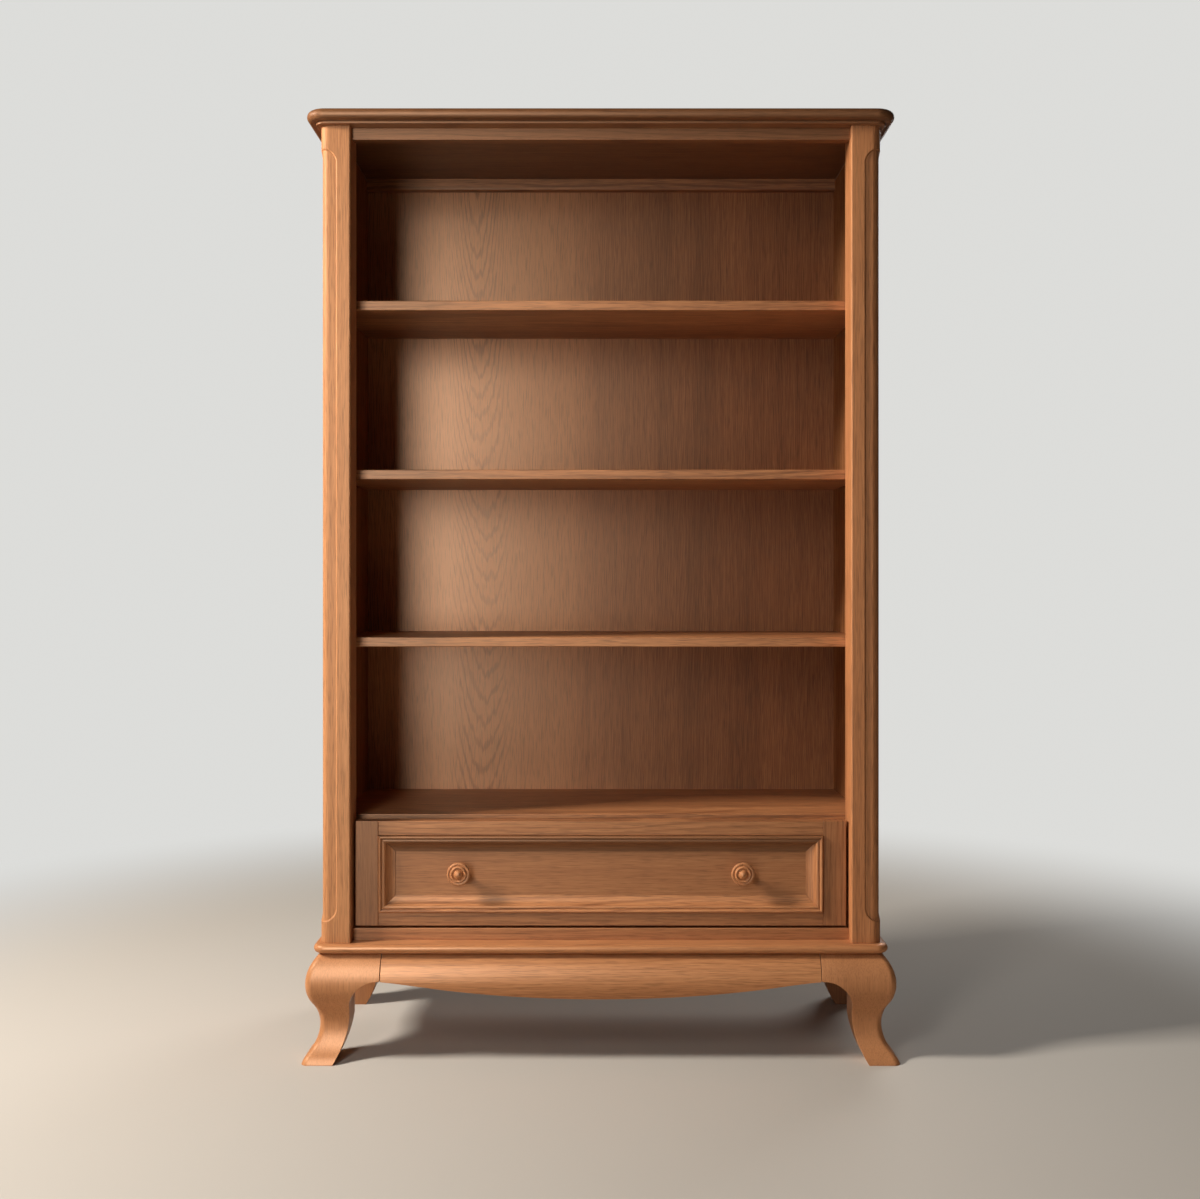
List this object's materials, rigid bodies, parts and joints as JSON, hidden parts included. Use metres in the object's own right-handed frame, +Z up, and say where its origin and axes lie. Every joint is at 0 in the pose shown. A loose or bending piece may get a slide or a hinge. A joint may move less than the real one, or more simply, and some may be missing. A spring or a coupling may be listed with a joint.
{
  "type": "bookcase",
  "caption": "Tall free-standing oak bookcase with fixed shelves, a wide drawer below them and curved legs.",
  "frame": {"origin": "on the floor, at the middle of the bookcase's overall width and depth", "axes": "+Z up, -Y out of the open front, +X to the right seen from the front"},
  "size_m": [1.1284, 0.4136, 1.8],
  "materials": {
    "oak": "satin, stained mid brown",
    "back_veneer": "satin veneer, vertical grain",
    "inner_wood": "matt, waxed",
    "drawer_base": "matt, waxed",
    "steel": "plain"
  },
  "bodies": {
    "case": {"top_board": "oak", "crown_bead_front": "oak", "crown_bead_left": "oak", "crown_bead_right": "oak", "top_rail": "oak", "front_post_left": "oak", "front_post_right": "oak", "rear_post_left": "oak", "rear_post_right": "oak", "side_panel_left": "oak", "side_panel_right": "oak", "back_cleat": "oak", "shelf_upper": "oak", "shelf_middle": "oak", "shelf_lower": "oak", "deck_board": "oak", "drawer_rail": "oak", "plinth_moulding_front": "oak", "plinth_moulding_left": "oak", "plinth_moulding_right": "oak", "front_leg_left": "oak", "front_leg_right": "oak", "rear_leg_left": "oak", "rear_leg_right": "oak", "apron_front": "oak", "apron_side_left": "oak", "apron_side_right": "oak", "back_panel": "back_veneer", "rear_web_rail": "inner_wood", "drawer_runner_left": "inner_wood", "drawer_runner_right": "inner_wood", "drawer_guide_left": "inner_wood", "drawer_guide_right": "inner_wood", "drawer_stops": "inner_wood", "plinth_rear_strip": "inner_wood", "rear_base_rail": "inner_wood", "glue_blocks": "inner_wood"},
    "drawer": {"drawer_front_stile_left": "oak", "drawer_front_stile_right": "oak", "drawer_front_rail_top": "oak", "drawer_front_rail_bottom": "oak", "drawer_front_panel": "oak", "drawer_moulding_top": "oak", "drawer_moulding_bottom": "oak", "drawer_moulding_left": "oak", "drawer_moulding_right": "oak", "drawer_knobs": "oak", "knob_screws": "steel", "drawer_inner_front": "inner_wood", "drawer_side_left": "inner_wood", "drawer_side_right": "inner_wood", "drawer_back": "inner_wood", "drawer_bottom": "drawer_base"}
  },
  "joints": [
    {"name": "drawer_slide", "type": "slide", "parent": "case", "child": "drawer", "axis": [0, -1, 0], "range_m": [0, 0.24]}
  ]
}
